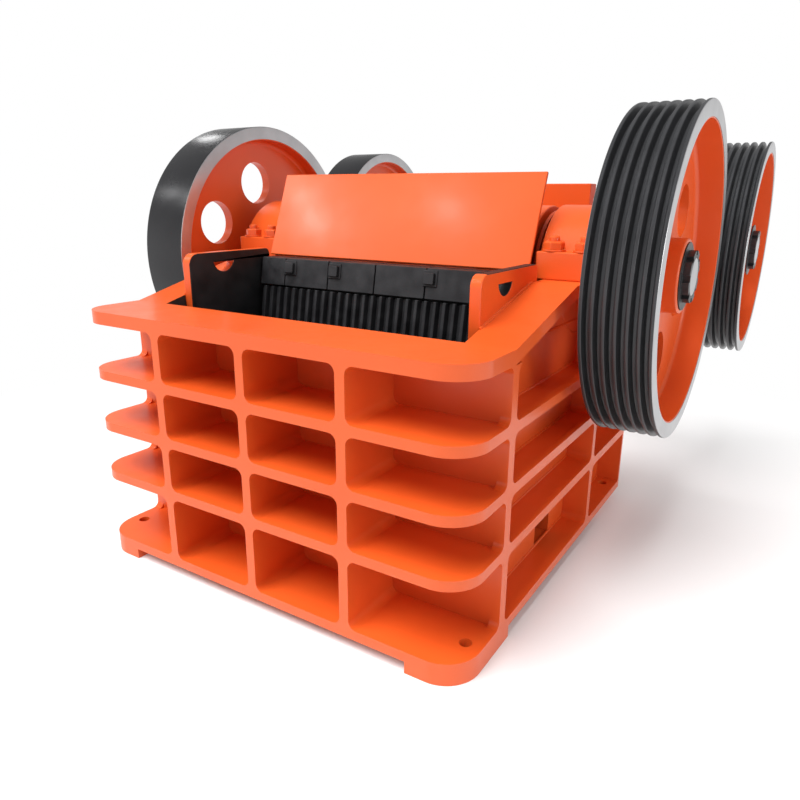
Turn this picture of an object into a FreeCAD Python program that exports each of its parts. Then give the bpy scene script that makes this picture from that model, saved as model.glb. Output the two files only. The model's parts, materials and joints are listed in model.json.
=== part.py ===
"""Jaw crusher: ribbed box frame, fixed and swinging jaw, eccentric shaft with two flywheels,
and a second, smaller pair of flywheels on a shaft carried by arms behind the frame.

Millimetres. +X is to the right seen from the feed side, +Y runs from the front of the frame
to the rear, +Z is up. The origin is on the floor, at the centre of the four foundation bolts.
Depths named "..._d" are measured from the front edge of the base towards the rear.
Heights named "..._z" are measured from the floor.
"""
import FreeCAD
import Part
import math
import os

Vec = FreeCAD.Vector

# ---- frame: overall sizes and plates -------------------------------------------------------
frame_w = 1400.0            # width over the shelves
frame_d = 1430.0            # depth over the shelves
pad_h = 35.0                # height of the corner feet under the base flange
base_t = 30.0               # base flange
shelf_t = 30.0              # each horizontal shelf
top_t = 40.0                # top flange
row_clear = (208.0, 143.0, 144.0, 151.0)   # free height of the four rows of cells, from below
corner_r = 105.0            # rounded front corners of shelves, base and top flange
cell_r = 25.0               # rounded corners inside the cells
front_overhang = 222.0      # shelves stand this far in front of the front wall
front_wall_t = 36.0
rear_wall_t = 36.0
end_plate_t = 14.0          # the rear wall reaches the sides as a thinner plate
chamber_w = 1120.0          # free width between the two side walls
side_wall_t = 50.0
rib_t = 30.0
rib_pitch = 340.0           # spacing of the three ribs on the front
side_rib_d = 994.0          # depth of the middle of the rib on each side
seam = 0.5                  # clearance round curved seats inside the frame

# ---- foundation bolts ----------------------------------------------------------------------
bolt_spacing_x = 1300.0
bolt_front_d = 120.0        # front bolt row
bolt_rear_inset = 65.0      # rear bolt row, from the rear edge
bolt_hole_r = 18.0
pad_l = 290.0               # length of each foot along the side
pad_w = 166.0               # width of each foot along the front
pad_inset = 25.0            # rear feet stand this far inside the side edges

# ---- windows in the side walls ---------------------------------------------------------------
window_d = 704.0
window_l = 130.0
window_h = 170.0

# ---- top of the frame ------------------------------------------------------------------------
mouth_d = 232.0             # front edge of the feed mouth
wing_rise = 108.0           # the top plates climb this far to the bearing seats
wing_end_d = 663.0          # where the climb ends
rear_top_lap = 11.0         # the plate across the rear starts this far in front of the rear guard

# ---- crushing chamber ------------------------------------------------------------------------
plate_bottom_z = 110.0      # lower end of both jaw plates
fixed_top_drop = 46.0        # the fixed plate ends this far below the top of the flange
fixed_face_top_d = 313.0    # tooth tips of the fixed jaw at its top
fixed_plate_t = 55.0
swing_top_rise = 26.0        # the toothed plate on the swing jaw ends this far above it
swing_face_top_d = 636.0    # its tooth tips there
swing_plate_t = 60.0
jaw_lean = 10.0             # degrees, the swing jaw's face leans back
discharge_gap = 45.0        # between tooth tips at the bottom
tooth_pitch = 35.0
tooth_h = 20.0
tooth_tip = 11.0
tooth_root = 21.0
cheek_t = 34.0
cheek_rise = 159.0          # cheek plates stand this far above the flange
cheek_rear_d = 706.0
cheek_nose_r = 35.0         # front top corner
cheek_tail_r = 20.0         # rear top corner
cheek_hole_d = 470.0
cheek_hole_drop = 35.0      # flat side of the lifting hole, below the cheek plate's top
cheek_hole_r = 48.0
cheek_hole_cut = 14.0       # the flat side lies this far below the circle's centre
block_rise = 129.0          # top of the smooth blocks over the toothed plate, above the flange
block_w = 200.0
block_gap = 4.0
block_t = 56.0
side_gap = 7.0              # running gap between swing jaw and cheek plates
body_inset = 22.0           # the casting ends this far inside its plates, each side

# ---- main (eccentric) shaft and its bearings ---------------------------------------------------
shaft_d = 983.0
shaft_rise = 13.0           # shaft axis above the bearing seats
housing_inset = 26.0        # inner face of each bearing housing, inside the side wall's inner face
housing_l = 187.0
housing_r = 208.0
housing_half_l = 235.0      # half length of the bolted foot
housing_foot_h = 85.0
cover_r = 120.0
cover_t = 12.0
journal_r = 75.0
middle_r = 85.0
shaft_collar = 2.0          # the thick middle ends this far outside the swing jaw
seat_r = 65.0               # wheel seats
thread_r = 58.0
running = 0.1               # radial clearance of the shaft in jaw and bearings
fit = 0.05                  # radial clearance of wheels and nuts on the shaft
seal_r = 190.0
seal_t = 12.0
shaft_slot = 8.0            # radial room round the shaft under the caps, outside the walls

# ---- flywheels -------------------------------------------------------------------------------
wheel_r = 502.0
wheel_gap = 12.0            # least gap between the bearing cover and the wheel's hub
wheel_side_gap = 45.0       # and between the shelves and the rim
wheel_w = 197.0
rim_inner_r = 450.0
web_t = 40.0
web_inset = 92.0            # outer face of the web, inside the rim's outer face
hub_r = 115.0
hub_out_inset = 26.0
hub_reach = 16.0            # hub end, beyond the rim's inner face
hole_count = 6
hole_circle_r = 281.0
hole_r = 84.0
right_phase = 43.0          # turn of the first web hole, right-hand wheels
left_phase = 94.0           # and left-hand wheels
groove_count = 6
groove_pitch = 31.0
groove_depth = 24.0
groove_top_w = 22.0
groove_bottom_w = 12.0
ring_r = 104.0
ring_t = 4.0
nut_r = 80.0
nut_t = 22.0
nut_notches = 8
notch_w = 20.0
notch_depth = 14.0

# ---- swing jaw -------------------------------------------------------------------------------
barrel_r = 205.0
guard_bottom_d = 712.0
guard_foot_gap = 7.0        # between the smooth blocks and the guard
guard_top_d = 824.0
guard_h = 292.0
guard_overlap = 8.0         # the guard reaches this far past each end of the jaw plates
guard_t = 10.0
bracket_t = 14.0
bracket_lap = 60.0          # brackets reach this far above the barrel's shoulder
shoulder_step = 14.0        # ledge between the guard's foot and the shoulder
bracket_pitch = 340.0
toggle_w = 800.0
toggle_t = 40.0
toggle_gap = 14.0           # open pivot between toggle and swing jaw
toggle_jaw_z = 262.0
toggle_rear_z = 330.0
toggle_seat_l = 110.0
toggle_seat_h = 150.0

# ---- rear guard ------------------------------------------------------------------------------
rear_guard_gap = 8.0        # behind the bearing caps
rear_guard_h = 292.0
rear_guard_inset = 20.0     # inside the side walls' inner faces
rear_guard_return = 64.0

# ---- rear shaft, its wheels and arms -----------------------------------------------------------
wheels_apart = 99.0         # between the main and the rear wheels
rear_shaft_step = 24.0      # rear axis above the main one
rear_wheel_r = 430.0
rear_wheel_step = 74.0      # rear rims' outer faces, outside the main ones
rear_rim_inner_r = 384.0
rear_hub_r = 100.0
rear_hole_circle_r = 240.0
rear_hole_r = 70.0
rear_housing_r = 165.0
rear_housing_half_l = 200.0
rear_housing_foot_h = 60.0
rear_axis_h = 180.0         # rear axis above its seat
arm_overrun = 215.0         # arms reach this far behind the rear shaft
arm_t = 50.0
arm_top_t = 40.0
arm_root_h = 320.0
arm_tip_h = 90.0
tie_h = 110.0
tie_l = 90.0

# ---- values that follow ------------------------------------------------------------------------
half_w = frame_w / 2
front_y = -(bolt_front_d + (frame_d - bolt_front_d - bolt_rear_inset) / 2)
base_z = pad_h + base_t                       # top of the base flange
side_in_x = chamber_w / 2
side_out_x = side_in_x + side_wall_t
lean = math.radians(jaw_lean)


def row_levels():
    """Underside and top of the three shelves, and the underside of the top flange."""
    shelves = []
    z = base_z
    for clear in row_clear[:-1]:
        shelves.append((z + clear, z + clear + shelf_t))
        z = shelves[-1][1]
    return shelves, z + row_clear[-1]


shelf_levels, top_under_z = row_levels()
top_z = top_under_z + top_t
seat_z = top_z + wing_rise
fixed_top_z = top_z - fixed_top_drop
swing_top_z = top_z + swing_top_rise
cheek_top_z = top_z + cheek_rise
cheek_hole_z = cheek_top_z - cheek_hole_drop
block_top_z = top_z + block_rise
guard_bottom_z = block_top_z + guard_foot_gap
guard_top_z = guard_bottom_z + guard_h
shaft_z = seat_z + shaft_rise
housing_in_x = side_in_x - housing_inset
cover_out_x = housing_in_x + housing_l + cover_t
wheel_in_x = max(cover_out_x + wheel_gap + hub_reach, half_w + wheel_side_gap)
wheel_out_x = wheel_in_x + wheel_w
rear_guard_d = shaft_d + max(housing_r, housing_half_l) + rear_guard_gap
rear_top_d = max(rear_guard_d - rear_top_lap, shaft_d + housing_r + seam)
rear_guard_top_z = seat_z + rear_guard_h
rear_guard_half_w = side_in_x - rear_guard_inset
rear_shaft_d = shaft_d + wheel_r + wheels_apart + rear_wheel_r
rear_shaft_z = shaft_z + rear_shaft_step
rear_seat_z = rear_shaft_z - rear_axis_h
rear_wheel_out_x = wheel_out_x + rear_wheel_step
swing_bottom_d = swing_face_top_d - (swing_top_z - plate_bottom_z) * math.tan(lean)
fixed_bottom_d = swing_bottom_d - discharge_gap
fixed_lean = math.atan((fixed_bottom_d - fixed_face_top_d) / (fixed_top_z - plate_bottom_z))
jaw_half_w = side_in_x - cheek_t - side_gap
guard_half_w = jaw_half_w + guard_overlap
body_half_w = jaw_half_w - body_inset
wall_in_d = front_overhang + front_wall_t
rear_in_d = frame_d - rear_wall_t
end_plate_d = frame_d - end_plate_t


def y_of(depth):
    """Y of a point that is this deep behind the front edge of the base."""
    return front_y + depth


# ---- small shape helpers -----------------------------------------------------------------------
def block(x0, x1, d0, d1, z0, z1):
    """Box between two corners, with depths from the front edge."""
    return Part.makeBox(x1 - x0, d1 - d0, z1 - z0, Vec(x0, y_of(d0), z0))


def rod(radius, x0, x1, depth, z):
    """Cylinder along X."""
    return Part.makeCylinder(radius, x1 - x0, Vec(x0, y_of(depth), z), Vec(1, 0, 0))


def side_profile(points, x0, x1):
    """Straight-sided outline in depth and height, extruded along X."""
    corners = [Vec(x0, y_of(d), z) for d, z in points]
    wire = Part.makePolygon(corners + corners[:1])
    return Part.Face(wire).extrude(Vec(x1 - x0, 0, 0))


def outline(edges, direction):
    """Extrude the face inside a closed chain of edges."""
    return Part.Face(Part.Wire(edges)).extrude(direction)


def mirror_x(shape):
    """The same piece on the left-hand side."""
    return shape.mirror(Vec(0, 0, 0), Vec(1, 0, 0))


def both_sides(shape):
    return Part.makeCompound([shape, mirror_x(shape)])


def save(name, shape):
    """Write one named piece."""
    shape.exportStep("parts/" + name + ".step")


# ---- frame -------------------------------------------------------------------------------------
def front_plate(depth, z0, thickness):
    """Plate over the full width with two rounded front corners."""
    y0 = y_of(0)
    y1 = y_of(depth)
    r = corner_r
    k = r * (1 - math.sqrt(0.5))
    left = Part.Arc(Vec(-half_w, y0 + r, z0), Vec(-half_w + k, y0 + k, z0), Vec(-half_w + r, y0, z0))
    right = Part.Arc(Vec(half_w - r, y0, z0), Vec(half_w - k, y0 + k, z0), Vec(half_w, y0 + r, z0))
    edges = [
        left.toShape(),
        Part.makeLine(Vec(-half_w + r, y0, z0), Vec(half_w - r, y0, z0)),
        right.toShape(),
        Part.makeLine(Vec(half_w, y0 + r, z0), Vec(half_w, y1, z0)),
        Part.makeLine(Vec(half_w, y1, z0), Vec(-half_w, y1, z0)),
        Part.makeLine(Vec(-half_w, y1, z0), Vec(-half_w, y0 + r, z0)),
    ]
    return outline(edges, Vec(0, 0, thickness))


def bolt_hole(x, depth):
    return Part.makeCylinder(bolt_hole_r, base_z, Vec(x, y_of(depth), 0))


def base_front():
    """Front of the base flange with its two feet."""
    plate = front_plate(wall_in_d, pad_h, base_t)
    feet = front_plate(pad_l, 0, pad_h)
    middle = block(-half_w + pad_w, half_w - pad_w, 0, pad_l, 0, pad_h)
    shape = plate.fuse(feet.cut(middle))
    for x in (-bolt_spacing_x / 2, bolt_spacing_x / 2):
        shape = shape.cut(bolt_hole(x, bolt_front_d))
    return shape.removeSplitter()


def base_side():
    """Right-hand side of the base flange with the rear foot."""
    plate = block(side_in_x, half_w, wall_in_d, frame_d, pad_h, base_z)
    foot = block(side_in_x, half_w - pad_inset, frame_d - pad_l, frame_d, 0, pad_h)
    hole = bolt_hole(bolt_spacing_x / 2, frame_d - bolt_rear_inset)
    return plate.fuse(foot).cut(hole).removeSplitter()


def base_rear():
    return block(-side_in_x, side_in_x, rear_in_d, frame_d, pad_h, base_z)


def front_shelves():
    return Part.makeCompound([front_plate(front_overhang, low, shelf_t) for low, _ in shelf_levels])


def side_shelves():
    """The three shelves on the right side wall."""
    shelves = [block(side_out_x, half_w, wall_in_d, end_plate_d, low, high) for low, high in shelf_levels]
    return Part.makeCompound(shelves)


def cell_rows():
    """Floor and ceiling of each row of cells."""
    floors = [base_z] + [high for _, high in shelf_levels]
    ceilings = [low for low, _ in shelf_levels] + [top_under_z]
    return list(zip(floors, ceilings))


def rib(floor, ceiling, length):
    """Upright rib with rounded roots, along +Y from the origin, centred on X."""
    h = rib_t / 2
    r = cell_r
    k = r * math.sqrt(0.5)
    low = floor + r
    high = ceiling - r

    def point(x, z):
        return Vec(x, 0, z)

    edges = [Part.makeLine(point(-h - r, floor), point(h + r, floor))]
    right_low = Part.Arc(point(h + r, floor), point(h + r - k, low - k), point(h, low))
    edges.append(right_low.toShape())
    edges.append(Part.makeLine(point(h, low), point(h, high)))
    right_high = Part.Arc(point(h, high), point(h + r - k, high + k), point(h + r, ceiling))
    edges.append(right_high.toShape())
    edges.append(Part.makeLine(point(h + r, ceiling), point(-h - r, ceiling)))
    left_high = Part.Arc(point(-h - r, ceiling), point(-h - r + k, high + k), point(-h, high))
    edges.append(left_high.toShape())
    edges.append(Part.makeLine(point(-h, high), point(-h, low)))
    left_low = Part.Arc(point(-h, low), point(-h - r + k, low - k), point(-h - r, floor))
    edges.append(left_low.toShape())
    return outline(edges, Vec(0, length, 0))


def front_ribs():
    ribs = []
    for floor, ceiling in cell_rows():
        for x in (-rib_pitch, 0, rib_pitch):
            piece = rib(floor, ceiling, front_overhang)
            piece.translate(Vec(x, y_of(0), 0))
            ribs.append(piece)
    return Part.makeCompound(ribs)


def side_ribs():
    """Upright rib on the right side wall, one piece per row; the top one ends just below the shaft."""
    ribs = []
    rows = cell_rows()
    rows[-1] = (rows[-1][0], shaft_z - journal_r - shaft_slot)
    for floor, ceiling in rows:
        piece = rib(floor, ceiling, half_w - side_out_x)
        piece.rotate(Vec(0, 0, 0), Vec(0, 0, 1), -90)
        piece.translate(Vec(side_out_x, y_of(side_rib_d), 0))
        ribs.append(piece)
    return Part.makeCompound(ribs)


def front_wall():
    return block(-half_w, half_w, front_overhang, wall_in_d, base_z, top_under_z)


def rear_wall():
    """Wall between the side walls, widened to the frame's full width by a thinner end plate."""
    high = seat_z - top_t
    wall = block(-side_in_x, side_in_x, rear_in_d, frame_d, base_z, high)
    return wall.fuse(block(-half_w, half_w, end_plate_d, frame_d, base_z, high)).removeSplitter()


def wing_slope():
    """Slope of the climbing top plates, rise over run."""
    return wing_rise / (wing_end_d - mouth_d)


def side_wall():
    """Right side wall, with the window low down and the half-round seat for the bearing."""
    under_at_wall = top_under_z + (wall_in_d - mouth_d) * wing_slope()
    points = [
        (wall_in_d, base_z),
        (end_plate_d, base_z),
        (end_plate_d, seat_z - top_t),
        (wing_end_d, seat_z - top_t),
        (wall_in_d, under_at_wall),
    ]
    shape = side_profile(points, side_in_x, side_out_x)
    shape = shape.cut(rod(housing_r + seam, side_in_x - 1, side_out_x + 1, shaft_d, shaft_z))
    window = block(side_in_x - 1, side_out_x + 1, window_d, window_d + window_l, base_z, base_z + window_h)
    return shape.cut(window)


def top_front():
    return front_plate(mouth_d, top_under_z, top_t)


def top_side():
    """Right top plate: it climbs from the mouth to the bearing seat and is cut out round the
    bearing over the side wall and round the shaft outside it."""
    points = [
        (mouth_d, top_under_z),
        (wing_end_d, seat_z - top_t),
        (frame_d, seat_z - top_t),
        (frame_d, seat_z),
        (wing_end_d, seat_z),
        (mouth_d, top_z),
    ]
    shape = side_profile(points, side_in_x, half_w)
    shape = shape.cut(rod(housing_r + seam, side_in_x - 1, side_out_x, shaft_d, shaft_z))
    return shape.cut(rod(journal_r + shaft_slot, side_out_x - 1, half_w + 1, shaft_d, shaft_z))


def top_rear():
    return block(-side_in_x, side_in_x, rear_top_d, frame_d, seat_z - top_t, seat_z)


# ---- bearings ----------------------------------------------------------------------------------
def bearing_cap(depth, z, seat, radius, half_l, foot_h, bore):
    """Right-hand cap: a half-round back on a bolted foot, with a round end cover."""
    x0 = housing_in_x
    x1 = housing_in_x + housing_l
    shape = rod(radius, x0, x1, depth, z)
    shape = shape.fuse(rod(cover_r, x1, cover_out_x, depth, z))
    below = block(x0 - 1, cover_out_x + 1, depth - 2 * radius, depth + 2 * radius, z - 2 * radius, seat)
    shape = shape.cut(below)
    shape = shape.fuse(block(x0, x1, depth - half_l, depth + half_l, seat, seat + foot_h))
    shape = shape.cut(rod(bore, x0 - 1, cover_out_x + 1, depth, z))
    return shape.removeSplitter()


def main_cap():
    bore = journal_r + running
    return bearing_cap(shaft_d, shaft_z, seat_z, housing_r, housing_half_l, housing_foot_h, bore)


def main_saddle():
    """Right-hand lower half of the main bearing, let into the side wall and flush with its outside."""
    x0 = housing_in_x
    x1 = side_out_x
    shape = rod(housing_r, x0, x1, shaft_d, shaft_z)
    reach = 2 * housing_r
    above = block(x0 - 1, x1 + 1, shaft_d - reach, shaft_d + reach, seat_z, seat_z + reach)
    shape = shape.cut(above)
    return shape.cut(rod(journal_r + running, x0 - 1, x1 + 1, shaft_d, shaft_z))


def rear_housing():
    """Right-hand pillow block of the rear shaft."""
    x0 = housing_in_x
    x1 = housing_in_x + housing_l
    d = rear_shaft_d
    z = rear_shaft_z
    shape = rod(rear_housing_r, x0, x1, d, z)
    shape = shape.fuse(block(x0, x1, d - rear_housing_r, d + rear_housing_r, rear_seat_z, z))
    foot_top = rear_seat_z + rear_housing_foot_h
    foot = block(x0, x1, d - rear_housing_half_l, d + rear_housing_half_l, rear_seat_z, foot_top)
    shape = shape.fuse(foot)
    shape = shape.fuse(rod(cover_r, x1, cover_out_x, d, z))
    shape = shape.cut(rod(journal_r + running, x0 - 1, cover_out_x + 1, d, z))
    return shape.removeSplitter()


# ---- crushing chamber --------------------------------------------------------------------------
def toothed_plate(teeth, half_width, thickness, length):
    """Plate standing on Z = 0 with upright teeth towards -Y; tooth tips on Y = 0."""
    pitch_start = -teeth * tooth_pitch / 2
    points = [(-half_width, thickness), (-half_width, tooth_h)]
    for index in range(teeth):
        middle = pitch_start + (index + 0.5) * tooth_pitch
        points.append((middle - tooth_root / 2, tooth_h))
        points.append((middle - tooth_tip / 2, 0))
        points.append((middle + tooth_tip / 2, 0))
        points.append((middle + tooth_root / 2, tooth_h))
    points.append((half_width, tooth_h))
    points.append((half_width, thickness))
    corners = [Vec(x, y, 0) for x, y in points]
    wire = Part.makePolygon(corners + corners[:1])
    return Part.Face(wire).extrude(Vec(0, 0, length))


def moving_jaw_plate():
    length = (swing_top_z - plate_bottom_z) / math.cos(lean)
    teeth = int(2 * jaw_half_w / tooth_pitch)
    shape = toothed_plate(teeth, jaw_half_w, swing_plate_t, length)
    shape.rotate(Vec(0, 0, 0), Vec(1, 0, 0), -jaw_lean)
    shape.translate(Vec(0, y_of(swing_bottom_d), plate_bottom_z))
    return shape


def fixed_jaw_plate():
    """Toothed plate turned to face the rear, leaning towards the swing jaw at its foot."""
    length = (fixed_top_z - plate_bottom_z) / math.cos(fixed_lean)
    half_width = side_in_x - seam
    teeth = int(2 * half_width / tooth_pitch)
    shape = toothed_plate(teeth, half_width, fixed_plate_t, length)
    shape.rotate(Vec(0, 0, 0), Vec(0, 0, 1), 180)
    shape.rotate(Vec(0, 0, 0), Vec(1, 0, 0), math.degrees(fixed_lean))
    shape.translate(Vec(0, y_of(fixed_bottom_d), plate_bottom_z))
    front = block(-half_w, half_w, 0, wall_in_d, 0, 2 * top_z)
    return shape.cut(front)


def fixed_face_at(z, offset=0.0):
    """Depth of the fixed jaw's tooth-tip plane at a height, moved back towards the front wall."""
    tip = fixed_bottom_d - (z - plate_bottom_z) * math.tan(fixed_lean)
    return tip - offset / math.cos(fixed_lean)


def swing_face_at(z, offset=0.0):
    """Depth of the swing jaw's tooth-tip plane at a height, moved back into the swing jaw."""
    tip = swing_bottom_d + (z - plate_bottom_z) * math.tan(lean)
    return tip + offset / math.cos(lean)


def fixed_jaw_backing():
    """Wedge on the front wall that sets the fixed jaw's slope."""
    low = plate_bottom_z
    rise = (fixed_face_at(low, fixed_plate_t) - wall_in_d) / math.tan(fixed_lean)
    points = [(wall_in_d, low), (fixed_face_at(low, fixed_plate_t), low), (wall_in_d, low + rise)]
    return side_profile(points, -side_in_x + seam, side_in_x - seam)


def cheek_plate():
    """Right-hand cheek plate, standing up out of the mouth, with a half-moon lifting hole."""
    x0 = side_in_x - cheek_t
    front_top = fixed_face_top_d + 1
    low_front = fixed_face_at(plate_bottom_z) + 2
    points = [
        (low_front, plate_bottom_z),
        (cheek_rear_d, plate_bottom_z),
        (cheek_rear_d, cheek_top_z),
        (front_top, cheek_top_z),
        (front_top, fixed_top_z),
    ]
    shape = side_profile(points, x0, side_in_x)
    for depth, radius in ((front_top, cheek_nose_r), (cheek_rear_d, cheek_tail_r)):
        corner = [edge for edge in shape.Edges if abs(edge.BoundBox.XLength - cheek_t) < 0.01
                  and edge.BoundBox.ZMin > cheek_top_z - 1 and abs(edge.BoundBox.YMin - y_of(depth)) < 1]
        shape = shape.makeFillet(radius, corner)
    hole = rod(cheek_hole_r, x0 - 1, side_in_x + 1, cheek_hole_d, cheek_hole_z + cheek_hole_cut)
    upper = block(x0 - 2, side_in_x + 2, cheek_hole_d - 2 * cheek_hole_r, cheek_hole_d + 2 * cheek_hole_r,
                  cheek_hole_z, cheek_hole_z + 2 * cheek_hole_r)
    return shape.cut(hole.cut(upper))


def jaw_blocks():
    """Smooth blocks bolted over the toothed plate: four full ones and a short one at each end."""
    edges = [-jaw_half_w, -2 * block_w, -block_w, 0, block_w, 2 * block_w, jaw_half_w]
    low = swing_top_z + block_gap
    back = swing_plate_t
    front = swing_plate_t - block_t
    points = [
        (swing_face_at(low, front), low),
        (swing_face_at(low, back), low),
        (swing_face_at(block_top_z, back), block_top_z),
        (swing_face_at(block_top_z, front), block_top_z),
    ]
    pieces = []
    for left, right in zip(edges[:-1], edges[1:]):
        pieces.append(side_profile(points, left + block_gap / 2, right - block_gap / 2))
    return Part.makeCompound(pieces)


def jaw_shoulder():
    """Sloping line from behind the guard's foot, tangent to the barrel, as two points."""
    foot = (guard_bottom_d + guard_t + shoulder_step, block_top_z + block_gap)
    run = shaft_d - foot[0]
    drop = foot[1] - shaft_z
    angle = math.pi - math.atan2(drop, run) - math.acos(barrel_r / math.hypot(run, drop))
    head = (shaft_d + barrel_r * math.cos(angle), shaft_z + barrel_r * math.sin(angle))
    return foot, head


def toggle_jaw_d():
    """Depth of the seat at the rear of the swing jaw's foot."""
    return swing_face_at(toggle_jaw_z, swing_plate_t) + 150


def jaw_body():
    """Casting of the swing jaw: a barrel round the shaft and a tapering arm down to its foot."""
    foot, head = jaw_shoulder()
    back = swing_plate_t
    seat = toggle_jaw_d()
    points = [
        (swing_face_at(plate_bottom_z, back), plate_bottom_z),
        (swing_face_at(plate_bottom_z, back) + 90, plate_bottom_z),
        (seat, toggle_jaw_z - 70),
        (seat, toggle_jaw_z + 70),
        (shaft_d + barrel_r * 0.7, shaft_z - barrel_r * 0.7),
        (shaft_d, shaft_z),
        head,
        foot,
        (swing_face_at(block_top_z, back), block_top_z),
    ]
    shape = side_profile(points, -body_half_w, body_half_w)
    shape = shape.fuse(rod(barrel_r, -body_half_w, body_half_w, shaft_d, shaft_z))
    shape = shape.cut(rod(middle_r + running, -body_half_w - 1, body_half_w + 1, shaft_d, shaft_z))
    return shape.removeSplitter()


def guard_normal():
    """Unit vector square to the guard, towards the rear, as depth and height."""
    run = guard_top_d - guard_bottom_d
    rise = guard_top_z - guard_bottom_z
    size = math.hypot(run, rise)
    return rise / size, -run / size


def guard_plate():
    """Leaning sheet over the swing jaw's head."""
    nd, nz = guard_normal()
    points = [
        (guard_bottom_d, guard_bottom_z),
        (guard_bottom_d + nd * guard_t, guard_bottom_z + nz * guard_t),
        (guard_top_d + nd * guard_t, guard_top_z + nz * guard_t),
        (guard_top_d, guard_top_z),
    ]
    return side_profile(points, -guard_half_w, guard_half_w)


def guard_brackets():
    """Three gussets that carry the guard on the jaw's shoulder."""
    foot, head = jaw_shoulder()
    nd, nz = guard_normal()
    slope = (guard_top_d - guard_bottom_d) / (guard_top_z - guard_bottom_z)
    low_z = guard_bottom_z + shoulder_step
    high_z = head[1] + bracket_lap
    back_d = guard_bottom_d + nd * guard_t
    back_z = guard_bottom_z + nz * guard_t
    shoulder = (head[0] - foot[0]) / (head[1] - foot[1])
    points = [
        (back_d + (low_z - back_z) * slope, low_z),
        (foot[0] + (low_z - foot[1]) * shoulder, low_z),
        (head[0], head[1]),
        (back_d + (high_z - back_z) * slope, high_z),
    ]
    pieces = []
    for x in (-bracket_pitch, 0, bracket_pitch):
        pieces.append(side_profile(points, x - bracket_t / 2, x + bracket_t / 2))
    return Part.makeCompound(pieces)


def toggle_seat():
    low = toggle_rear_z - toggle_seat_h / 2
    return block(-toggle_w / 2, toggle_w / 2, rear_in_d - toggle_seat_l, rear_in_d, low, low + toggle_seat_h)


def toggle_plate():
    """Plate between the swing jaw's foot and the seat on the rear wall."""
    front = toggle_jaw_d() + toggle_gap
    rear = rear_in_d - toggle_seat_l
    h = toggle_t / 2
    points = [
        (front, toggle_jaw_z - h),
        (rear, toggle_rear_z - h),
        (rear, toggle_rear_z + h),
        (front, toggle_jaw_z + h),
    ]
    return side_profile(points, -toggle_w / 2, toggle_w / 2)


def rear_guard():
    """Upright sheet behind the barrel, with returned ends and a foot on the rear top plate."""
    d0 = rear_guard_d
    half = rear_guard_half_w
    sheet = block(-half, half, d0, d0 + guard_t, seat_z, rear_guard_top_z)
    foot = block(-half, half, d0, d0 + rear_guard_return, seat_z, seat_z + guard_t)
    shape = sheet.fuse(foot)
    for x in (-half, half - guard_t):
        shape = shape.fuse(block(x, x + guard_t, d0, d0 + rear_guard_return, seat_z, rear_guard_top_z))
    return shape.removeSplitter()


# ---- shafts and wheels -------------------------------------------------------------------------
def stepped_shaft(depth, z, out_x, middle):
    """Shaft along X: middle, bearing journals, wheel seats and threaded ends."""
    face = out_x - hub_out_inset
    half_profile = [
        (0, middle),
        (body_half_w + shaft_collar, middle),
        (body_half_w + shaft_collar, journal_r),
        (cover_out_x, journal_r),
        (cover_out_x, seat_r),
        (face, seat_r),
        (face, thread_r),
        (face + ring_t + nut_t, thread_r),
    ]
    left = [(-x, r) for x, r in reversed(half_profile[1:])]
    points = [(left[0][0], 0)] + left + half_profile[1:] + [(half_profile[-1][0], 0)]
    return revolved(points, depth, z)


def revolved(points, depth, z):
    """Turn an outline of (x, radius) points round the shaft axis."""
    corners = [Vec(x, 0, r) for x, r in points]
    wire = Part.makePolygon(corners + corners[:1])
    shape = Part.Face(wire).revolve(Vec(0, 0, 0), Vec(1, 0, 0), 360)
    shape.translate(Vec(0, y_of(depth), z))
    return shape


def tread(radius, x0, x1, grooved):
    """Outline of the rim's outer surface from x0 to x1."""
    points = [(x0, radius)]
    if grooved:
        first = (x0 + x1) / 2 - (groove_count - 1) * groove_pitch / 2
        for index in range(groove_count):
            middle = first + index * groove_pitch
            points.append((middle - groove_top_w / 2, radius))
            points.append((middle - groove_bottom_w / 2, radius - groove_depth))
            points.append((middle + groove_bottom_w / 2, radius - groove_depth))
            points.append((middle + groove_top_w / 2, radius))
    points.append((x1, radius))
    return points


def flywheel(depth, z, radius, out_x, inner_r, hub, circle, hole, phase, grooved):
    """Right-hand flywheel: rim, recessed web with round holes, and hub."""
    x1 = out_x
    x0 = out_x - wheel_w
    web_out = out_x - web_inset
    web_in = web_out - web_t
    bore = seat_r + fit
    points = [(x0 - hub_reach, bore)]
    points += [(x0 - hub_reach, hub), (web_in, hub), (web_in, inner_r), (x0, inner_r)]
    points += tread(radius, x0, x1, grooved)
    points += [(x1, inner_r), (web_out, inner_r), (web_out, hub)]
    points += [(x1 - hub_out_inset, hub), (x1 - hub_out_inset, bore)]
    shape = revolved(points, depth, z)
    for index in range(hole_count):
        angle = math.radians(phase + index * 360 / hole_count)
        hole_d = depth + circle * math.cos(angle)
        hole_z = z + circle * math.sin(angle)
        shape = shape.cut(rod(hole, web_in - 1, web_out + 1, hole_d, hole_z))
    return shape


def main_wheel(phase, grooved):
    return flywheel(shaft_d, shaft_z, wheel_r, wheel_out_x, rim_inner_r, hub_r,
                    hole_circle_r, hole_r, phase, grooved)


def rear_wheel(phase, grooved):
    return flywheel(rear_shaft_d, rear_shaft_z, rear_wheel_r, rear_wheel_out_x, rear_rim_inner_r,
                    rear_hub_r, rear_hole_circle_r, rear_hole_r, phase, grooved)


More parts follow.
